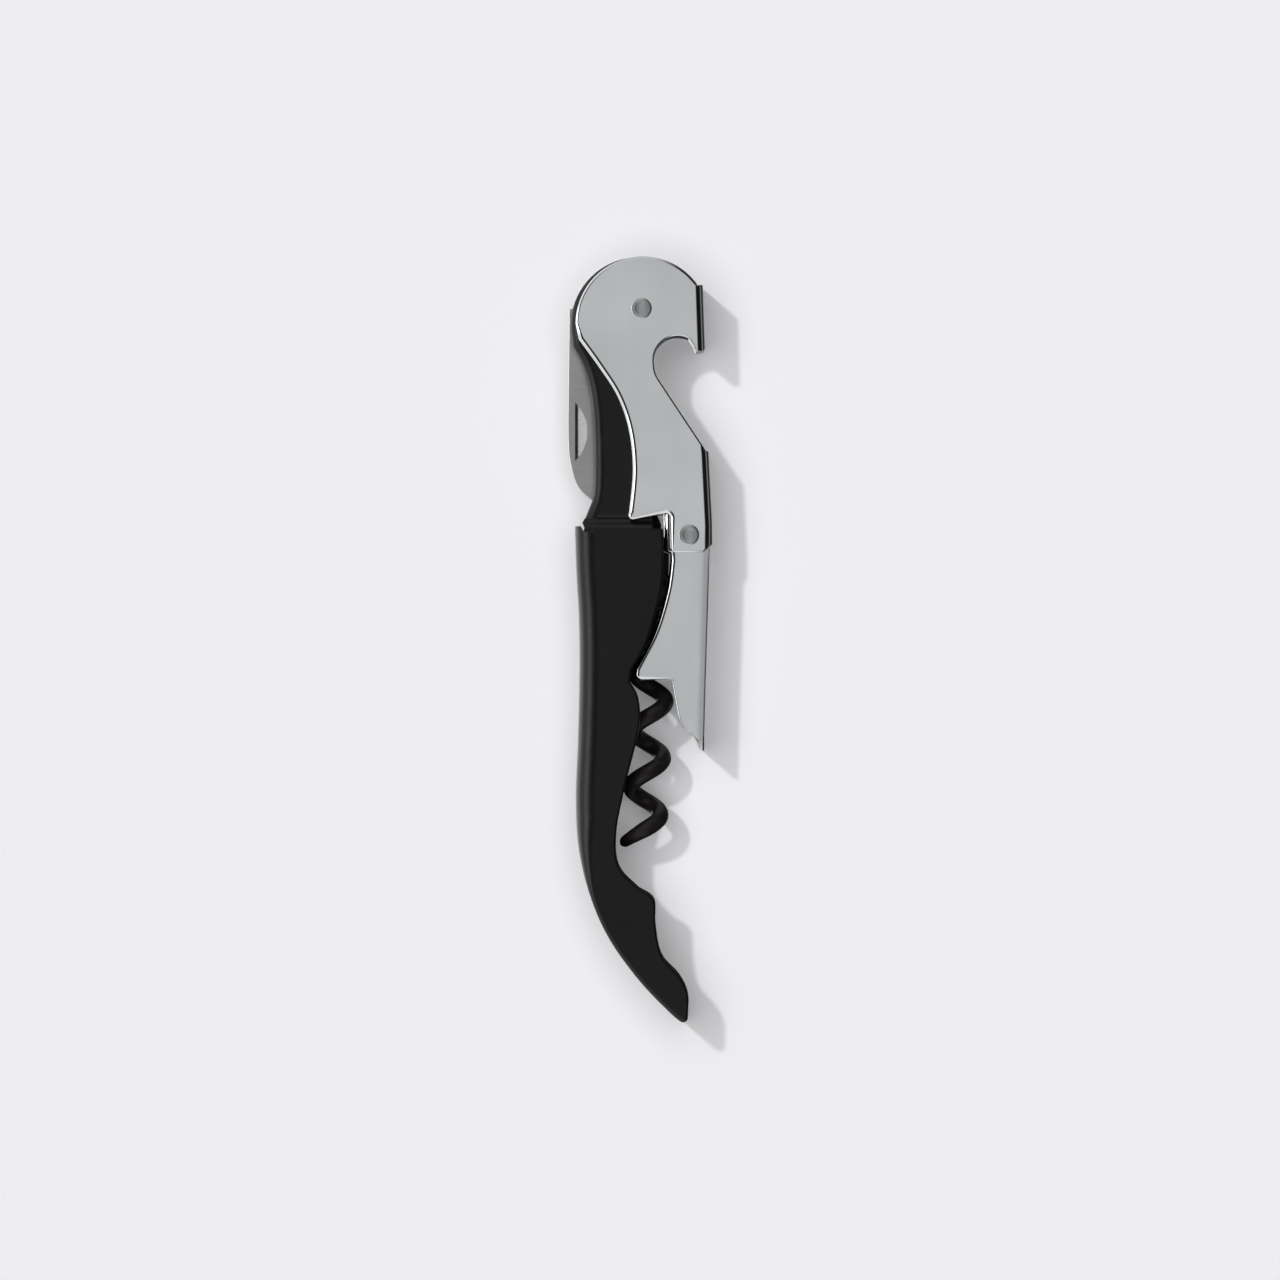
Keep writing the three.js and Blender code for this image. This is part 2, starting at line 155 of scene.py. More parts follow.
# ---------------------------------------------------------------- plan curves
def arc(centre, radius, start, stop, step=5):
    """Points of an arc between two angles in degrees, in the direction that they run."""
    count = max(2, math.ceil(abs(stop - start) / step))
    angles = [math.radians(start + (stop - start) * i / count) for i in range(count + 1)]
    return [(centre[0] + radius * math.cos(a), centre[1] + radius * math.sin(a)) for a in angles]


def smooth(points, spacing=0.8):
    """A uniform Catmull-Rom curve through the points, at about the given spacing."""
    points = [Vector(p) for p in points]
    ends = [points[0], *points, points[-1]]
    fine = []
    for p0, p1, p2, p3 in zip(ends, ends[1:], ends[2:], ends[3:]):
        for i in range(24):
            t = i / 24
            fine.append(
                0.5
                * (
                    2 * p1
                    + (p2 - p0) * t
                    + (2 * p0 - 5 * p1 + 4 * p2 - p3) * t**2
                    + (3 * p1 - p0 - 3 * p2 + p3) * t**3
                )
            )
    fine.append(points[-1])
    return respaced(fine, spacing)


def respaced(points, spacing):
    """The same line with its points at about the given spacing."""
    lengths = [0.0]
    for a, b in zip(points, points[1:]):
        lengths.append(lengths[-1] + (b - a).length)
    count = max(2, round(lengths[-1] / spacing))
    result, k = [], 0
    for i in range(count + 1):
        wanted = lengths[-1] * i / count
        while k < len(points) - 2 and lengths[k + 1] < wanted:
            k += 1
        span = max(lengths[k + 1] - lengths[k], 1e-9)
        result.append(tuple(points[k].lerp(points[k + 1], (wanted - lengths[k]) / span)))
    return result


def corner(before, at, after, radius, step=12):
    """A corner between two straight lines, rounded to an arc."""
    at = Vector(at)
    a = (Vector(before) - at).normalized()
    b = (Vector(after) - at).normalized()
    half = a.angle(b) / 2
    centre = at + (a + b).normalized() * (radius / math.sin(half))
    first = at + a * (radius / math.tan(half)) - centre
    last = at + b * (radius / math.tan(half)) - centre
    turn = math.copysign(math.pi - 2 * half, first.x * last.y - first.y * last.x)
    count = max(2, math.ceil(math.degrees(abs(turn)) / step))
    points = []
    for i in range(count + 1):
        angle = turn * i / count
        c, s = math.cos(angle), math.sin(angle)
        spot = centre + Vector((first.x * c - first.y * s, first.x * s + first.y * c))
        points.append((spot.x, spot.y))
    return points


def with_edge(points, share):
    """The points with a share of the plate's edge rounding."""
    return [(u, v, share) for u, v, *_ in points]


def fine(points):
    return with_edge(points, FINE_EDGE)


# ---------------------------------------------------------------- solids
def new_object(name, vertices, faces):
    mesh = bpy.data.meshes.new(name)
    mesh.from_pydata(vertices, [], faces)
    mesh.validate()
    piece = bpy.data.objects.new(name, mesh)
    bpy.context.scene.collection.objects.link(piece)
    return piece


def edit(piece, work):
    """Runs work on the piece's mesh as a bmesh."""
    bm = bmesh.new()
    bm.from_mesh(piece.data)
    work(bm)
    bm.to_mesh(piece.data)
    bm.free()
    return piece


def stacked(rings, closed=False):
    """A closed mesh through rings of points, capped at both ends unless it closes on itself."""
    count = len(rings[0])
    vertices = [p for ring in rings for p in ring]
    layers = range(len(rings) if closed else len(rings) - 1)
    faces = []
    for k in layers:
        low, high = k * count, (k + 1) % len(rings) * count
        for i in range(count):
            j = (i + 1) % count
            faces.append((low + i, low + j, high + j, high + i))
    if not closed:
        last = (len(rings) - 1) * count
        faces.append(tuple(reversed(range(count))))
        faces.append(tuple(range(last, last + count)))
    return new_object("solid", vertices, faces)


def cleaned(points):
    """An anticlockwise outline of (u, v, share of the edge rounding), with no point twice."""
    points = [(p[0], p[1], p[2] if len(p) > 2 else 1.0) for p in points]
    kept = []
    for p in points:
        if not kept or math.dist(p[:2], kept[-1][:2]) > 0.02:
            kept.append(p)
    if math.dist(kept[0][:2], kept[-1][:2]) < 0.02:
        kept.pop()
    area = sum(a[0] * b[1] - b[0] * a[1] for a, b in zip(kept, kept[1:] + kept[:1]))
    return kept if area > 0 else kept[::-1]


def inward(outline):
    """For each point, the step that moves both of its sides one millimetre inwards."""
    steps = []
    for i, here in enumerate(outline):
        here = Vector(here[:2])
        a = (here - Vector(outline[i - 1][:2])).normalized()
        b = (Vector(outline[(i + 1) % len(outline)][:2]) - here).normalized()
        a, b = Vector((-a.y, a.x)), Vector((-b.y, b.x))
        steps.append((a + b) / max(1 + a.dot(b), 0.25))
    return steps


def quarter(size, steps):
    """A quarter ellipse from the face to the side, as (inset, drop) pairs."""
    turns = [math.radians(90 * k / steps) for k in range(steps + 1)]
    return [(size[0] * (1 - math.sin(a)), size[1] * (1 - math.cos(a))) for a in turns]


def rounded(points, half, edge, margin=0.0, steps=FOLD_STEPS):
    """The outline across the thickness, its edges rounded over at both faces.

    The edge is the size of a quarter ellipse, or (inset, drop) pairs from the face to the side.
    The margin sets the whole outline in.
    """
    outline = cleaned(points)
    moves = inward(outline)
    profile = quarter(edge, steps) if isinstance(edge, tuple) else edge
    rings = []
    for side, order in ((-1, profile), (1, profile[::-1])):
        for inset, drop in order:
            ring = []
            for (u, v, share), move in zip(outline, moves):
                inner = margin + inset * share
                ring.append((u + inner * move.x, v + inner * move.y, side * (half - drop * share)))
            rings.append(ring)
    return stacked(rings)


def slab(points, low, high):
    """The outline carried straight from one height to another."""
    outline = cleaned(points)
    return stacked([[(u, v, low) for u, v, _ in outline], [(u, v, high) for u, v, _ in outline]])


def plate(points, half):
    return slab(points, -half, half)


def block(u0, u1, v0, v1, half):
    return plate([(u0, v0), (u1, v0), (u1, v1), (u0, v1)], half)


def along_u(profile):
    """A (v, z) profile, mirrored about the middle plane and carried along u."""
    both = profile + [(v, -z) for v, z in reversed(profile)]
    outline = cleaned(both)
    return stacked([[(u, v, z) for v, z, _ in outline] for u in (-REACH, REACH)])


def along_v(profile, low, high):
    """A (u, z) profile carried along v."""
    outline = cleaned(profile)[::-1]
    return stacked([[(u, v, z) for u, z, _ in outline] for v in (low, high)])


def turned(profile, at, segments=64):
    """A closed (radius, height) profile, turned about an axis across the thickness."""
    rings = []
    for i in range(segments):
        a = 2 * math.pi * i / segments
        rings.append([(at[0] + r * math.cos(a), at[1] + r * math.sin(a), z) for r, z in profile])
    solid = stacked(rings, closed=True)

    def close_axis(bm):
        bmesh.ops.remove_doubles(bm, verts=bm.verts, dist=1e-4)
        loose = [e for e in bm.edges if not e.link_faces]
        bmesh.ops.delete(bm, geom=loose, context="EDGES")
        bmesh.ops.recalc_face_normals(bm, faces=bm.faces)

    return edit(solid, close_axis)


def shaft(at, radius, low, high):
    return turned([(0, low), (radius, low), (radius, high), (0, high)], at)


def pin_hole(at):
    return shaft(at, HOLE_RADIUS, -WIDE_HALF - 1, WIDE_HALF + 1)


def applied(piece):
    """The piece with its modifiers made part of its mesh."""
    graph = bpy.context.evaluated_depsgraph_get()
    mesh = bpy.data.meshes.new_from_object(piece.evaluated_get(graph))
    old = piece.data
    piece.modifiers.clear()
    piece.data = mesh
    bpy.data.meshes.remove(old)
    return piece


def boolean(base, other, operation):
    modifier = base.modifiers.new("boolean", "BOOLEAN")
    modifier.object = other
    modifier.operation = operation
    modifier.solver = "EXACT"
    applied(base)
    bpy.data.objects.remove(other)
    return base


def cut(base, *others):
    for other in others:
        boolean(base, other, "DIFFERENCE")
    return base


def join(base, *others):
    for other in others:
        boolean(base, other, "UNION")
    return base


def common(base, *others):
    for other in others:
        boolean(base, other, "INTERSECT")
    return base


def fold_inside(sweep, half, edge):
    """The inner side of a sheet folded round the sweep."""
    inner = (max(edge[0] - SHEET, 0.1), max(edge[1] - SHEET, 0.1))
    return rounded(sweep, half - SHEET, inner, SHEET)


def finish_piece(piece, name, body, material, stands_for, burr=BURR):
    """Breaks the last sharp edges, puts the piece into the frame and hides its CAD nodes."""

    def tidy(bm):
        bmesh.ops.remove_doubles(bm, verts=bm.verts, dist=0.004)
        bmesh.ops.dissolve_degenerate(bm, edges=bm.edges, dist=0.002)
        bmesh.ops.recalc_face_normals(bm, faces=bm.faces)

    edit(piece, tidy)
    if burr:
        bevel = piece.modifiers.new("burr", "BEVEL")
        bevel.width = burr
        bevel.segments = 2
        bevel.limit_method = "ANGLE"
        bevel.angle_limit = math.radians(BURR_ANGLE)
        bevel.use_clamp_overlap = True
        applied(piece)
    piece.data.transform(Matrix.Translation(ORIGIN) @ Matrix.Scale(MM, 4))
    piece.data.shade_smooth()
    piece.data.set_sharp_from_angle(angle=math.radians(SHARP_ANGLE))
    normals = piece.modifiers.new("flats", "WEIGHTED_NORMAL")
    normals.keep_sharp = True
    normals.weight = 100
    piece.name = name
    piece.data.name = name
    piece.data.materials.clear()
    piece.data.materials.append(material)
    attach(piece, body)
    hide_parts(*stands_for)
    return piece


# ---------------------------------------------------------------- handle
SPINE = smooth(
    [
        (-10.41, -34.1),
        (-10.2, -41),
        (-9.78, -48.8),
        (-9.7, -57),
        (-9.94, -67.6),
        (-10.27, -77),
        (-9.78, -84.8),
        (-7.95, -92.2),
        (-5.0, -98.8),
        (-0.31, -105.3),
        (4.38, -110.2),
        (6.6, -112.05),
    ],
    1.2,
)
NECK_BACK = smooth(
    [
        (-9.25, -33.6),
        (-8.37, -31.6),
        (-7.5, -28.5),
        (-7.45, -20.5),
        (-7.98, -13.6),
        (-9.2, -8.9),
        (-10.75, -5.95),
    ]
)
HEAD_BACK = arc(HEAD_CENTRE, HEAD_RADIUS, 190, 90)
LEVER_SIDE = smooth([(3.3, -34.45), (3.52, -38), (3.13, -44.1), (0.94, -52), (-1.5, -56.5)])
GRIP_SIDE = smooth(
    [
        (-1.5, -58.9),
        (-0.39, -61.3),
        (-0.39, -66),
        (-2.66, -75.4),
        (-3.95, -82.5),
        (-3.44, -87.5),
        (-0.31, -90.9),
    ]
)
TAIL_SIDE = smooth(
    [
        (0.94, -91.55),
        (2.15, -92.9),
        (2.25, -96.5),
        (3.2, -101.3),
        (5.95, -104.5),
        (7.3, -107.2),
        (7.36, -109.5),
    ],
    0.6,
)


def ramp(low, high, from_z, to_z, steps=10):
    """Points of an S-shaped step between two heights, from one v to another."""
    points = []
    for i in range(steps + 1):
        share = i / steps
        blend = share * share * (3 - 2 * share)
        points.append((low + (high - low) * share, from_z + (to_z - from_z) * blend))
    return points


def spine_share(v):
    """The spine's fold tightens as it runs down into the tail."""
    return max(TAIL_EDGE, min(1.0, 1.0 + (v + 80) / 17))


def build_handle():
    folded = [(u, v, spine_share(v)) for u, v in SPINE]
    tail = (16, -119, TAIL_EDGE)
    sweep = [*folded, tail, (REACH, -119), (REACH, 0), (-10.41, 0)]
    body_plan = [
        (-14, SPINE_TOP),
        (-14, -118),
        (4, -118),
        (5.0, -112.75),
        *corner((4.38, -110.2), (7.25, -112.6), (7.36, -109.5), 0.75),
        *TAIL_SIDE[::-1],
        *GRIP_SIDE[::-1],
        (-1.8, -58.3),
        *LEVER_SIDE[::-1],
        (HEEL_CLEAR_U, -34.45),
        (HEEL_CLEAR_U, SPINE_TOP),
    ]
    neck_plan = [
        *NECK_BACK,
        *HEAD_BACK,
        *arc(PIVOT_AT, PIVOT_LOBE, 84, -19),
        *smooth(
            [
                (5.6, -3.5),
                (3.0, -4.6),
                (1.2, -8.3),
                (1.6, -11),
                (3.6, -15),
                (5.2, -18.7),
                (5.4, -26),
                (4.6, -29.6),
                (HEEL_CLEAR_U, -31.6),
            ]
        ),
        (HEEL_CLEAR_U, -33.4),
    ]
    shoulder_plan = [
        (-9.25, -33.6),
        (-9.1, -34.9),
        (HEEL_CLEAR_U, -34.9),
        (HEEL_CLEAR_U, -32.9),
        (-8.9, -32.9),
    ]
    neck_sweep = [*NECK_BACK, *HEAD_BACK, (REACH, HEAD_RADIUS), (REACH, -33.6)]
    shoulder = [
        (-60, WIDE_HALF),
        *ramp(SHOULDER_LOW, SHOULDER_HIGH, WIDE_HALF, NARROW_HALF),
        (0, NARROW_HALF),
    ]
    shoulder_hollow = [
        (-130, WIDE_HALF - SHEET),
        *ramp(SHOULDER_LOW - 0.1, SHOULDER_HIGH - 0.1, WIDE_HALF - SHEET, NARROW_INNER),
        (20, NARROW_INNER),
    ]
    inside = join(
        fold_inside(sweep, WIDE_HALF, SPINE_FOLD),
        block(-REACH, REACH, SPINE_TOP, REACH, WIDE_HALF),
    )
    hollow = common(inside, along_u(shoulder_hollow))
    neck = common(
        rounded(neck_sweep, NARROW_HALF, NECK_FOLD),
        rounded(neck_plan, NARROW_HALF + NECK_PROUD, COATED_EDGE, steps=EDGE_STEPS),
    )
    step = common(plate(shoulder_plan, WIDE_HALF), along_u(shoulder))
    body = common(
        rounded(sweep, WIDE_HALF, SPINE_FOLD),
        rounded(body_plan, WIDE_HALF + PROUD, COATED_EDGE, steps=EDGE_STEPS),
    )
    # A black strip joined to the back wall, past the front wall's edge beside the levers: painted shade,
    # a dark sheet that fills the gap where there is only shadow.
    shade_strip_plan = [(u - STRIP_OVERLAP, v) for u, v in LEVER_SIDE]
    shade_strip_plan += [(u + SHADE_STRIP, v) for u, v in LEVER_SIDE[::-1]]
    join(body, slab(shade_strip_plan, -WIDE_HALF, SHEET - WIDE_HALF))
    relief = plate([(-9.6, -33.9), (-9.0, -34.95), (-8.9, -34.3), (-9.3, -33.5)], WIDE_HALF + 1)
    return cut(join(body, step, neck), hollow, relief, pin_hole(PIVOT_AT), pin_hole(WORM_PIN_AT))


# ---------------------------------------------------------------- upper lever
LEVER_WEB = [(9.55, 12), (9.62, 3.68), (10.56, -23), (11.1, -34), (11.2, -45)]


def build_upper_lever():
    sweep = [*LEVER_WEB, (-REACH, -45), (-REACH, 12)]
    plan = [
        *with_edge(arc(DISC_CENTRE, DISC_RADIUS, 180, 35)[::-1], DISC_EDGE),
        *smooth(
            [
                (-9.8, -4.9),
                (-6.57, -9.39),
                (-3.76, -13.9),
                (-2.0, -19.2),
                (-1.41, -25.4),
                (-2.0, -31.9),
            ]
        ),
        *with_edge(corner((-2.0, -31.9), (-2.22, -33.32), (3.76, -32.2), 0.75), 0.75),
        *corner((-2.2, -33.3), (4.4, -32.05), (4.77, -38.18), 0.7),
        *fine(corner((4.46, -33), (4.77, -38.18), (11, -38.18), 0.35)),
        *fine([(9.7, -38.18), (11, -37.0), (12.5, -36.6), (12.5, -22.5)]),
        *fine(corner((12.5, -22.5), (10.2, -22.4), (2.82, -11.27), 0.5)),
        *fine(smooth([(2.82, -11.27), (2.2, -10.1), (1.97, -8.6)], 0.5)),
        *fine(arc(CAP_CENTRE, CAP_RADIUS, 175, 62)),
        *fine(corner((7.47, -4.75), (8.14, -5.8), (8.5, -6.8), 1.0)),
        *fine(corner((8.14, -5.8), (8.5, -6.8), (9.9, -6.7), 0.3)),
        *fine(corner((8.5, -6.8), (9.95, -6.6), (9.95, -5.4), 0.5)),
        *fine([(12.5, -5.3), (12.5, 3.68)]),
    ]
    tooth = [(7.4, -4.6), (9.8, -4.6), (9.8, -7), (7.4, -7)]
    below_web = block(-REACH, REACH, -REACH - 5, LEVER_WEB_END, WIDE_HALF - SHEET)
    hollow = join(fold_inside(sweep, WIDE_HALF, LEVER_FOLD), below_web)
    cut(hollow, plate(tooth, WIDE_HALF - 2 * SHEET))
    outside = common(
        rounded(sweep, WIDE_HALF, LEVER_FOLD),
        rounded(plan, WIDE_HALF + PROUD, PLATED_EDGE, steps=EDGE_STEPS),
    )
    return cut(outside, hollow, pin_hole(PIVOT_AT), pin_hole(LINK_AT))


# ---------------------------------------------------------------- lower arm
ARM_WEB = [
    (10.74, -30),
    (10.7, -37.56),
    (10.49, -45.7),
    (10.09, -58.2),
    (9.86, -66.8),
    (9.8, -75),
]


def arm_side():
    """The arm's outer edge: it dips slightly over its last stretch, then turns down sharply."""
    dip = [(1.5, 0.0), (1.2, 0.004), (0.95, 0.013), (0.7, 0.028), (0.3, 0.052), (0.1, 0.065)]
    return dip + [(inset, 0.065 + drop) for inset, drop in quarter((0.1, 0.12), 3)[1:]]


def build_lower_arm():
    web_sweep = [*ARM_WEB, (-REACH, -75), (-REACH, -30)]
    heel_sweep = [(3.1, -20), (3.62, -41), (REACH, -41), (REACH, -20)]
    plan = [
        *corner((6.4, -31.5), (3.2, -31.5), (3.5, -38), 1.1),
        (3.52, -38.0),
        (4.54, -38.4),
        *smooth([(4.54, -39.4), (3.91, -44.1), (2.1, -50.3), (-0.31, -55.1), (-1.0, -56.4)]),
        *corner((-0.31, -55.1), (-1.6, -58.3), (4.07, -58.06), 1.0),
        *fine(corner((0.31, -58.4), (4.7, -57.95), (5.2, -60), 0.6)),
        *fine(smooth([(5.32, -61.35), (5.95, -64.4), (6.73, -65.9), (7.82, -66.6)], 0.5)),
        *fine([(8.8, -68.1), (9.0, -68.9), (9.7, -69.3), (12, -69.0)]),
        *fine([(12, ARM_TOP), (LINK_AT[0] + 1.6, ARM_TOP)]),
        *fine(arc(LINK_AT, 2.6, -50, 50)),
        *fine(arc(LINK_AT, 4.0, 82, 104)),
    ]

    def below_heel():
        return block(-REACH, REACH, -80, -38, NARROW_HALF)

    heel = join(rounded(heel_sweep, NARROW_HALF, ARM_FOLD), below_heel())
    outside = common(
        rounded(web_sweep, NARROW_HALF, arm_side()),
        heel,
        rounded(plan, NARROW_HALF + PROUD, PLATED_EDGE, steps=EDGE_STEPS),
    )
    heel_inside = join(fold_inside(heel_sweep, NARROW_HALF, ARM_FOLD), below_heel())
    hollow = common(fold_inside(web_sweep, NARROW_HALF, ARM_FOLD), heel_inside)
    lip_slot = block(2, 5.4, -39, -30, HEEL_LIP_HALF)
    over_web = block(4.6, REACH, ARM_TOP, -30, NARROW_INNER)
    return cut(outside, hollow, lip_slot, over_web, pin_hole(LINK_AT))


# ---------------------------------------------------------------- knife
def build_knife():
    """The foil knife: a nail nick in its front face, and a scalloped edge ground on both sides."""
    plan = [
        *smooth(
            [
                (-11.3, 0.0),
                (-11.45, -11.3),
                (-11.5, -19.5),
                (-11.2, -23.8),
                (-9.9, -27.9),
                (-6.9, -30.7),
            ]
        ),
        *smooth(
            [
                (-5.5, -29.3),
                (-5.0, -24),
                (-5.2, -14),
                (-7.2, -10.4),
                (-8.5, -8.6),
                (-8.0, -7.3),
                (-6.6, -6.1),
                (-4.1, -4.4),
            ]
        ),
        *arc(PIVOT_AT, TANG_RADIUS, -128, 148),
        (-9.0, 0.9),
    ]
    blade = rounded(plan, BLADE_HALF, (BROKEN_EDGE, BROKEN_EDGE), steps=3)
    nick = arc(NICK_CENTRE, NICK_RADIUS, 46, -46)
    nick_floor = [(-10.7, BLADE_HALF - NICK_DEPTH), (-8.2, BLADE_HALF + 0.02), (-10.7, 2)]
    cut(blade, common(along_v(nick_floor, -26, -12), slab(nick, -BLADE_HALF, 1.5)))
    for side in (-1, 1):
        grind = [(-7.4, side * 0.62), (-4.0, side * -0.1), (-4.0, side * 2)]
        cut(blade, along_v(grind, -33, -13.2))
    scallop = [(0, -0.2), (0.1, -0.2), (0.75, 0.45), (0, 0.45)]
    for i in range(SERRATIONS):
        spot = (SERRATION_START[0], SERRATION_START[1] + SERRATION_PITCH * i)
        cut(blade, turned(scallop, spot, 20))
    return cut(blade, pin_hole(PIVOT_AT))


# ---------------------------------------------------------------- worm
def worm_line():
    """The wire's centre line, from the eye down to the tip."""
    turns = (WORM_TOP[1] - WORM_TIP[1]) / WORM_PITCH
    coil = WORM_RADIUS - WORM_WIRE
    pin_u, pin_v = WORM_PIN_AT
    points = [Vector((pin_u, pin_v - 1.9, 0)), Vector((pin_u + 1.2, pin_v - 4.6, 0))]
    steps = round(turns * WORM_STEPS)
    for i in range(steps + 1):
        share = i / steps
        angle = math.pi + 2 * math.pi * turns * (1 - share)
        swing = max(0, (share - (1 - TIP_SWING)) / TIP_SWING)
        opening = coil * min(1, TOP_OPENING + TOP_GROWTH * share) + TIP_SWING_OUT * swing**2
        points.append(
            Vector(
                (
                    WORM_TOP[0] + (WORM_TIP[0] - WORM_TOP[0]) * share + opening * math.cos(angle),
                    WORM_TOP[1] + (WORM_TIP[1] - WORM_TOP[1]) * share,
                    -opening * math.sin(angle),
                )
            )
        )
    return points


def swept(line, radius_at, sides=24):
    """A round tube along the line, with its own radius at each share of the way."""
    rings = []
    across = Vector((1, 0, 0))
    for i, point in enumerate(line):
        ahead = (line[min(i + 1, len(line) - 1)] - line[max(i - 1, 0)]).normalized()
        across = (across - ahead * across.dot(ahead)).normalized()
        other = ahead.cross(across)
        radius = radius_at(i / (len(line) - 1))
        ring = []
        for j in range(sides):
            a = 2 * math.pi * j / sides
            ring.append(point + radius * (math.cos(a) * across + math.sin(a) * other))
        rings.append(ring)
    return stacked(rings)


def build_worm():
    line = worm_line()

    def wire(share):
        left = 1 - share
        taper = WORM_WIRE * min(1, TIP_WIRE + left * TIP_GROWTH)
        if left < TIP_END:
            taper *= math.sqrt(max(1 - (1 - left / TIP_END) ** 2, 0.01))
        return taper

    ends = [line[-2].lerp(line[-1], k / 6) for k in range(1, 6)]
    tube = swept([*line[:-1], *ends, line[-1]], wire)
    ring = rounded(arc(WORM_PIN_AT, EYE_RADIUS, 0, 355), EYE_HALF, (0.7, 0.7), steps=EDGE_STEPS)
    return cut(join(tube, ring), pin_hole(WORM_PIN_AT))


# ---------------------------------------------------------------- rivets
def build_rivet(at):
    """A rivet with a low domed head at each end, dished in the middle."""
    seat = WIDE_HALF + RIVET_SEAT_GAP
    rim, land, dish = 0.2, 0.23, 0.19
    end = [
        (PIN_RADIUS, seat),
        (RIVET_HEAD, seat),
        *[(RIVET_HEAD - inset, seat + rim - drop) for inset, drop in quarter((0.26, rim), 6)[::-1]],
        (1.2, seat + land),
        (1.05, seat + land),
        (0.95, seat + (land + dish) / 2),
        (0.85, seat + dish),
        (0, seat + dish),
    ]
    return turned([(r, -z) for r, z in end[::-1]] + end, at)


# ---------------------------------------------------------------- spring and spacers
def build_bush(at, outer, low, high):
    """A plain tube round a rivet, with its outer ends broken."""
    profile = [
        (HOLE_RADIUS, low),
        (outer - BROKEN_EDGE, low),
        (outer, low + BROKEN_EDGE),
        (outer, high - BROKEN_EDGE),
        (outer - BROKEN_EDGE, high),
        (HOLE_RADIUS, high),
    ]
    return turned(profile, at)


def build_pin():
    """The worm's pin, with its ends broken, flush with the neck's walls."""
    end = [
        (0, NARROW_HALF),
        (PIN_RADIUS - BROKEN_EDGE, NARROW_HALF),
        (PIN_RADIUS, NARROW_HALF - BROKEN_EDGE),
    ]
    return turned([(r, -z) for r, z in end] + end[::-1], WORM_PIN_AT)


def build_spring():
    """The leaf that bears on the knife's tang, curled round the worm pin at its lower end."""
    half = NARROW_INNER - SIDE_GAP
    middle = smooth(
        [(2.6, -27.6), (3.5, -24.5), (3.2, -19), (1.2, -13), (0.5, -9.5), (-0.1, -6.3)], 0.5
    )
    sides = {-1: [], 1: []}
    for i, point in enumerate(middle):
        before, after = middle[max(i - 1, 0)], middle[min(i + 1, len(middle) - 1)]
        heading = (Vector(after) - Vector(before)).normalized()
        for sign, side in sides.items():
            across = sign * LEAF_HALF
            side.append((point[0] - across * heading.y, point[1] + across * heading.x))
    leaf = plate([*sides[-1], *sides[1][::-1]], half)
    # Each is slightly narrower than the last, so that no two faces share a plane.
    throat = plate([(1.6, -28.2), (2.2, -29.2), (2.95, -27.6), (2.4, -27.2)], half - LEAF_STEP)
    curl_half = half - 2 * LEAF_STEP
    curl = shaft(WORM_PIN_AT, HOLE_RADIUS + 2 * LEAF_HALF + 0.2, -curl_half, curl_half)
    slot = block(-5, 8, -34, -25.6, EYE_HALF + 0.2)
    return cut(join(leaf, throat, curl), slot, pin_hole(WORM_PIN_AT))


# ---------------------------------------------------------------- materials
NOISE_LOW, NOISE_HIGH = 0.3, 0.7


def new_material(name, colour, metallic, roughness):
    material = bpy.data.materials.new(name)
    material.use_nodes = True
    nodes = material.node_tree.nodes
    shader = nodes["Principled BSDF"]
    shader.inputs["Base Color"].default_value = (*colour, 1)
    shader.inputs["Metallic"].default_value = metallic
    shader.inputs["Roughness"].default_value = roughness
    return material, material.node_tree, shader


def noise(tree, scale, stretch=(1, 1, 1), detail=3.0):
    """Noise in object space. The scale is in cells per metre."""
    place = tree.nodes.new("ShaderNodeTexCoord")
    mapping = tree.nodes.new("ShaderNodeMapping")
    mapping.inputs["Scale"].default_value = stretch
    pattern = tree.nodes.new("ShaderNodeTexNoise")
    pattern.inputs["Scale"].default_value = scale
    pattern.inputs["Detail"].default_value = detail
    pattern.inputs["Roughness"].default_value = 0.55
    tree.links.new(place.outputs["Object"], mapping.inputs["Vector"])
    tree.links.new(mapping.outputs["Vector"], pattern.inputs["Vector"])
    return pattern.outputs["Fac"]


def ranged(tree, value, low, high):
    """Low to high, as a noise value runs through its usual range."""
    node = tree.nodes.new("ShaderNodeMapRange")
    node.inputs["From Min"].default_value = NOISE_LOW
    node.inputs["From Max"].default_value = NOISE_HIGH
    node.inputs["To Min"].default_value = low
    node.inputs["To Max"].default_value = high
    tree.links.new(value, node.inputs["Value"])
    return node.outputs["Result"]


def tinted(tree, value, dark, light):
    """A colour between two, by the value."""
    ramp_node = tree.nodes.new("ShaderNodeValToRGB")
    ramp_node.color_ramp.elements[0].position = NOISE_LOW
    ramp_node.color_ramp.elements[0].color = (*dark, 1)
    ramp_node.color_ramp.elements[1].position = NOISE_HIGH
    ramp_node.color_ramp.elements[1].color = (*light, 1)
    tree.links.new(value, ramp_node.inputs["Fac"])
    return ramp_node.outputs["Color"]


def bumped(tree, shader, height, distance, strength, below=None):
    """Relief of the given depth in metres. below is an earlier relief that it lies on."""
    bump = tree.nodes.new("ShaderNodeBump")
    bump.inputs["Strength"].default_value = strength
    bump.inputs["Distance"].default_value = distance
    tree.links.new(height, bump.inputs["Height"])
    if below is not None:
        tree.links.new(below, bump.inputs["Normal"])
    tree.links.new(bump.outputs["Normal"], shader.inputs["Normal"])
    return bump.outputs["Normal"]


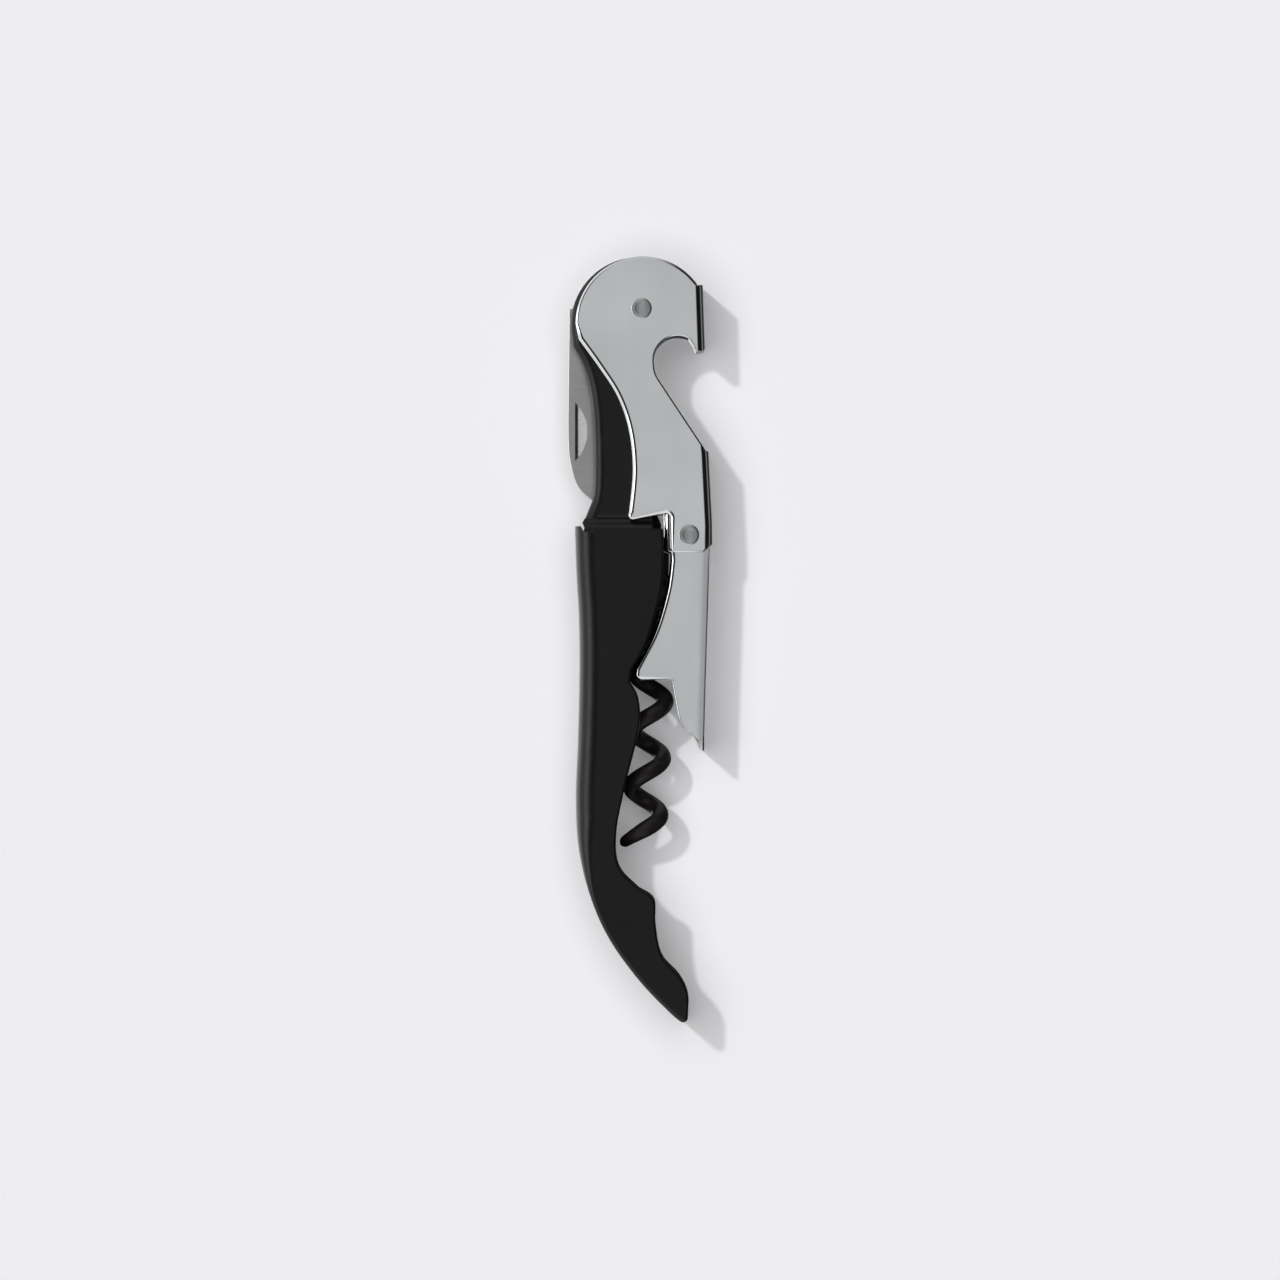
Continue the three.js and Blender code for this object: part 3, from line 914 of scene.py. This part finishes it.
def plated_material(name, polish, shade=1.0):
    """Bright nickel-chrome plate: a faint polishing grain and slow changes in polish."""
    material, tree, shader = new_material(name, (0.66, 0.68, 0.69), 1.0, polish)
    dark = [c * shade for c in (0.60, 0.625, 0.63)]
    light = [c * shade for c in (0.68, 0.69, 0.70)]
    grain = noise(tree, 900, (1, 0.06, 1), 4)
    cloud = noise(tree, 70, detail=2)
    tree.links.new(tinted(tree, cloud, dark, light), shader.inputs["Base Color"])
    tree.links.new(ranged(tree, grain, polish * 0.9, polish * 1.12), shader.inputs["Roughness"])
    slow = bumped(tree, shader, cloud, 0.00003, 0.3)
    bumped(tree, shader, grain, 0.000001, 0.3, slow)
    return material


def coat_material():
    """Matte black powder coat: fine orange peel, with a slightly uneven sheen."""
    material, tree, shader = new_material("handle_powder_coat", (0.003, 0.003, 0.003), 0.0, 0.32)
    shader.inputs["Specular IOR Level"].default_value = 0.34
    peel = noise(tree, 2600, detail=2)
    cloud = noise(tree, 120, detail=3)
    tree.links.new(
        tinted(tree, cloud, (0.0012, 0.0011, 0.0012), (0.0024, 0.0022, 0.0022)),
        shader.inputs["Base Color"],
    )
    tree.links.new(ranged(tree, peel, 0.28, 0.36), shader.inputs["Roughness"])
    bumped(tree, shader, peel, 0.000006, 0.6)
    return material


def blade_material():
    """Ground stainless: brushed along the blade's width, greyer than the plate."""
    material, tree, shader = new_material("blade_stainless", (0.5, 0.5, 0.495), 1.0, 0.3)
    grain = noise(tree, 4200, (0.04, 1, 1), 3)
    cloud = noise(tree, 140, detail=3)
    tree.links.new(
        tinted(tree, cloud, (0.48, 0.48, 0.475), (0.53, 0.53, 0.525)), shader.inputs["Base Color"]
    )
    tree.links.new(ranged(tree, grain, 0.27, 0.33), shader.inputs["Roughness"])
    bumped(tree, shader, grain, 0.0000006, 0.5)
    return material


def worm_material():
    """Smooth dark non-stick coat on the wire, a little glossy."""
    material, tree, shader = new_material("worm_nonstick_coat", (0.008, 0.007, 0.0065), 0.0, 0.42)
    shader.inputs["Specular IOR Level"].default_value = 0.3
    cloud = noise(tree, 500, detail=3)
    tree.links.new(
        tinted(tree, cloud, (0.005, 0.0045, 0.004), (0.011, 0.0095, 0.009)),
        shader.inputs["Base Color"],
    )
    tree.links.new(ranged(tree, cloud, 0.38, 0.5), shader.inputs["Roughness"])
    bumped(tree, shader, cloud, 0.00001, 0.4)
    return material


def steel_material():
    """Plain turned steel of the hidden pins, bushes and spring."""
    material, tree, shader = new_material("fastener_steel", (0.42, 0.42, 0.43), 1.0, 0.34)
    grain = noise(tree, 2200, (1, 1, 0.08), 3)
    tree.links.new(
        tinted(tree, grain, (0.36, 0.36, 0.37), (0.48, 0.48, 0.49)), shader.inputs["Base Color"]
    )
    tree.links.new(ranged(tree, grain, 0.26, 0.44), shader.inputs["Roughness"])
    return material


# ---------------------------------------------------------------- the pieces
plated_bright = plated_material("plated_bright", 0.11)
plated_satin = plated_material("plated_satin", 0.13)
rivet_satin = plated_material("rivet_satin", 0.33, 0.85)
coat = coat_material()
blade_steel = blade_material()
worm_coat = worm_material()
steel = steel_material()

finish_piece(build_handle(), "handle_shell", "body", coat, ["handle"])
finish_piece(
    build_upper_lever(), "upper_lever_plate", "lever", plated_bright, ["upper_lever"]
)
finish_piece(
    build_lower_arm(), "lower_arm_plate", "arm", plated_satin, ["lower_arm"]
)
finish_piece(build_knife(), "foil_knife", "knife", blade_steel, ["knife_blade"], FINE_BURR)
finish_piece(build_worm(), "worm_helix", "worm", worm_coat, ["worm"], 0)
finish_piece(
    build_rivet(PIVOT_AT), "head_rivet_dome", "body", rivet_satin, ["head_rivet"], 0
)
finish_piece(
    build_rivet(LINK_AT), "link_rivet_dome", "lever", rivet_satin, ["link_rivet"], 0
)

spacer_low, spacer_high = BLADE_HALF + SIDE_GAP, NARROW_INNER - SIDE_GAP
for solid, name, body, node in (
    (build_spring(), "leaf_spring", "body", "knife_spring"),
    (
        build_bush(PIVOT_AT, SPACER_RADIUS, spacer_low, spacer_high),
        "front_spacer",
        "body",
        "knife_spacer_front",
    ),
    (
        build_bush(PIVOT_AT, SPACER_RADIUS, -spacer_high, -spacer_low),
        "back_spacer",
        "body",
        "knife_spacer_back",
    ),
    (
        build_bush(LINK_AT, LINK_BUSH_RADIUS, -spacer_high, spacer_high),
        "link_spacer",
        "lever",
        "link_bush",
    ),
    (build_pin(), "worm_pivot", "body", "worm_pin"),
):
    finish_piece(solid, name, body, steel, [node], 0)


# ---------------------------------------------------------------- floor, light and camera
FLOOR_HALF = 3.0
FLOOR_BEND = 0.4
FLOOR_BEND_STEPS = 12
FLOOR_GLOW = 0.14
WORLD_BRIGHTEST = 4.0
VIEW_WIDTH = 0.2003
VIEW_DISTANCE = 1.5
SENSOR = 36


def build_floor():
    """Pale paper that curves up at the back, with a little light of its own."""
    rings = []
    start = FLOOR_HALF - FLOOR_BEND
    for x in (-FLOOR_HALF, FLOOR_HALF):
        row = [(x, -FLOOR_HALF, 0), (x, start, 0)]
        for i in range(1, FLOOR_BEND_STEPS + 1):
            a = math.radians(90 * i / FLOOR_BEND_STEPS)
            row.append((x, start + FLOOR_BEND * math.sin(a), FLOOR_BEND * (1 - math.cos(a))))
        rings.append(row)
    count = len(rings[0])
    faces = [(i, count + i, count + i + 1, i + 1) for i in range(count - 1)]
    floor = new_object("studio_floor", [p for row in rings for p in row], faces)
    floor.data.shade_smooth()
    material, tree, shader = new_material("floor_paper", (0.84, 0.835, 0.855), 0.0, 1.0)
    shader.inputs["Specular IOR Level"].default_value = 0.0
    shader.inputs["Emission Color"].default_value = (0.985, 0.98, 1.0, 1)
    shader.inputs["Emission Strength"].default_value = FLOOR_GLOW
    floor.data.materials.append(material)
    floor.visible_glossy = False


def build_world():
    """What the polished pieces reflect. It lights nothing diffusely.

    It is grey overhead. To the left come a dark gap and then a white panel, brighter along its
    top edge and below the horizon. The right is dark, with a faint band above the horizon.
    """
    world = bpy.data.worlds.new("studio")
    bpy.context.scene.world = world
    world.cycles_visibility.diffuse = False
    world.use_nodes = True
    tree = world.node_tree
    background = tree.nodes["Background"]

    def value(kind, *inputs):
        node = tree.nodes.new("ShaderNodeMath")
        node.operation = kind
        for i, item in enumerate(inputs):
            if isinstance(item, (int, float)):
                node.inputs[i].default_value = item
            else:
                tree.links.new(item, node.inputs[i])
        return node.outputs[0]

    def towards(direction, start, stop):
        """0 to 1 as the direction's share goes from start to stop."""
        node = tree.nodes.new("ShaderNodeMapRange")
        node.interpolation_type = "SMOOTHSTEP"
        node.inputs["From Min"].default_value = start
        node.inputs["From Max"].default_value = stop
        tree.links.new(direction, node.inputs["Value"])
        return node.outputs["Result"]

    place = tree.nodes.new("ShaderNodeTexCoord")
    split = tree.nodes.new("ShaderNodeSeparateXYZ")
    tree.links.new(place.outputs["Generated"], split.inputs[0])
    x, y, z = split.outputs
    tilt = value("MULTIPLY", value("ARCCOSINE", z), 180 / math.pi)
    flat = value("SQRT", value("MAXIMUM", value("SUBTRACT", 1.0, value("MULTIPLY", z, z)), 1e-4))
    side = value("DIVIDE", x, flat)
    front = value("DIVIDE", y, flat)

    def curve(points):
        """Brightness by the tilt from straight up, in degrees."""
        node = tree.nodes.new("ShaderNodeFloatCurve")
        line = node.mapping.curves[0]
        line.points[0].location = (0, points[0][1] / WORLD_BRIGHTEST)
        line.points[1].location = (1, points[-1][1] / WORLD_BRIGHTEST)
        for angle, height in points[1:-1]:
            line.points.new(angle / 180, height / WORLD_BRIGHTEST)
        for point in line.points:
            point.handle_type = "VECTOR"
        node.mapping.update()
        tree.links.new(value("DIVIDE", tilt, 180.0), node.inputs["Value"])
        return value("MULTIPLY", node.outputs[0], WORLD_BRIGHTEST)

    def mixed(share, first, second):
        return value("MULTIPLY_ADD", share, value("SUBTRACT", second, first), first)

    back_panel = curve([(0, 0.72), (8, 0.71), (20, 0.74), (60, 0.78), (90, 0.75), (180, 0.5)])
    front_panel = curve(
        [(0, 0.72), (8, 0.71), (20, 0.8), (50, 1.1), (86, 1.1), (98, 0.15), (180, 0.2)]
    )
    left = curve(
        [(0, 0.72), (6, 0.70), (12, 0.02), (36, 0.02), (43, 1.25), (58, 1.1), (80, 1.1), (180, 0.9)]
    )
    strip = curve([(0, 0), (36, 0), (43, 2.6), (52, 2.6), (60, 0), (90, 0), (96, 2), (150, 1), (180, 0)])
    right = curve(
        [
            (0, 0.72),
            (6, 0.66),
            (10, 0.3),
            (14, 0.01),
            (60, 0.01),
            (68, 0.22),
            (82, 0.22),
            (92, 0.01),
            (120, 0.04),
            (180, 0.3),
        ]
    )
    ends = mixed(towards(front, 0.5, -0.5), back_panel, front_panel)
    total = mixed(towards(side, 0.15, 0.55), mixed(towards(side, -0.35, -0.8), ends, left), right)
    total = value("MULTIPLY_ADD", strip, towards(side, -0.94, -0.99), total)
    tree.links.new(value("MAXIMUM", total, 0.01), background.inputs["Color"])
    background.inputs["Strength"].default_value = 1.0


def build_lights():
    """A wide soft light from above and a crisper one from the upper left."""
    for name, strength, angle, direction in (
        ("dome", 1.86, 60, (-0.12, 0.1, 1)),
        ("key", 0.98, 3.5, (-0.46, 0.40, 1)),
    ):
        light = bpy.data.lights.new(name, "SUN")
        light.energy = strength
        light.angle = math.radians(angle)
        lamp = bpy.data.objects.new(name, light)
        lamp.rotation_euler = Vector(direction).to_track_quat("Z", "Y").to_euler()
        lamp.visible_glossy = False
        bpy.context.scene.collection.objects.link(lamp)


def build_camera():
    """Looks straight down on the middle of the closed tool, from far off."""
    low, high = cad_bounds
    data = bpy.data.cameras.new("camera")
    data.sensor_width = SENSOR
    data.lens = SENSOR * VIEW_DISTANCE / VIEW_WIDTH
    data.clip_start = 0.01
    data.clip_end = 20
    camera = bpy.data.objects.new("camera", data)
    camera.location = ((low[0] + high[0]) / 2, (low[1] + high[1]) / 2, high[2] + VIEW_DISTANCE)
    bpy.context.scene.collection.objects.link(camera)
    bpy.context.scene.camera = camera


build_floor()
build_world()
build_lights()
build_camera()

bpy.context.scene.view_settings.view_transform = "Standard"
bpy.context.view_layer.update()
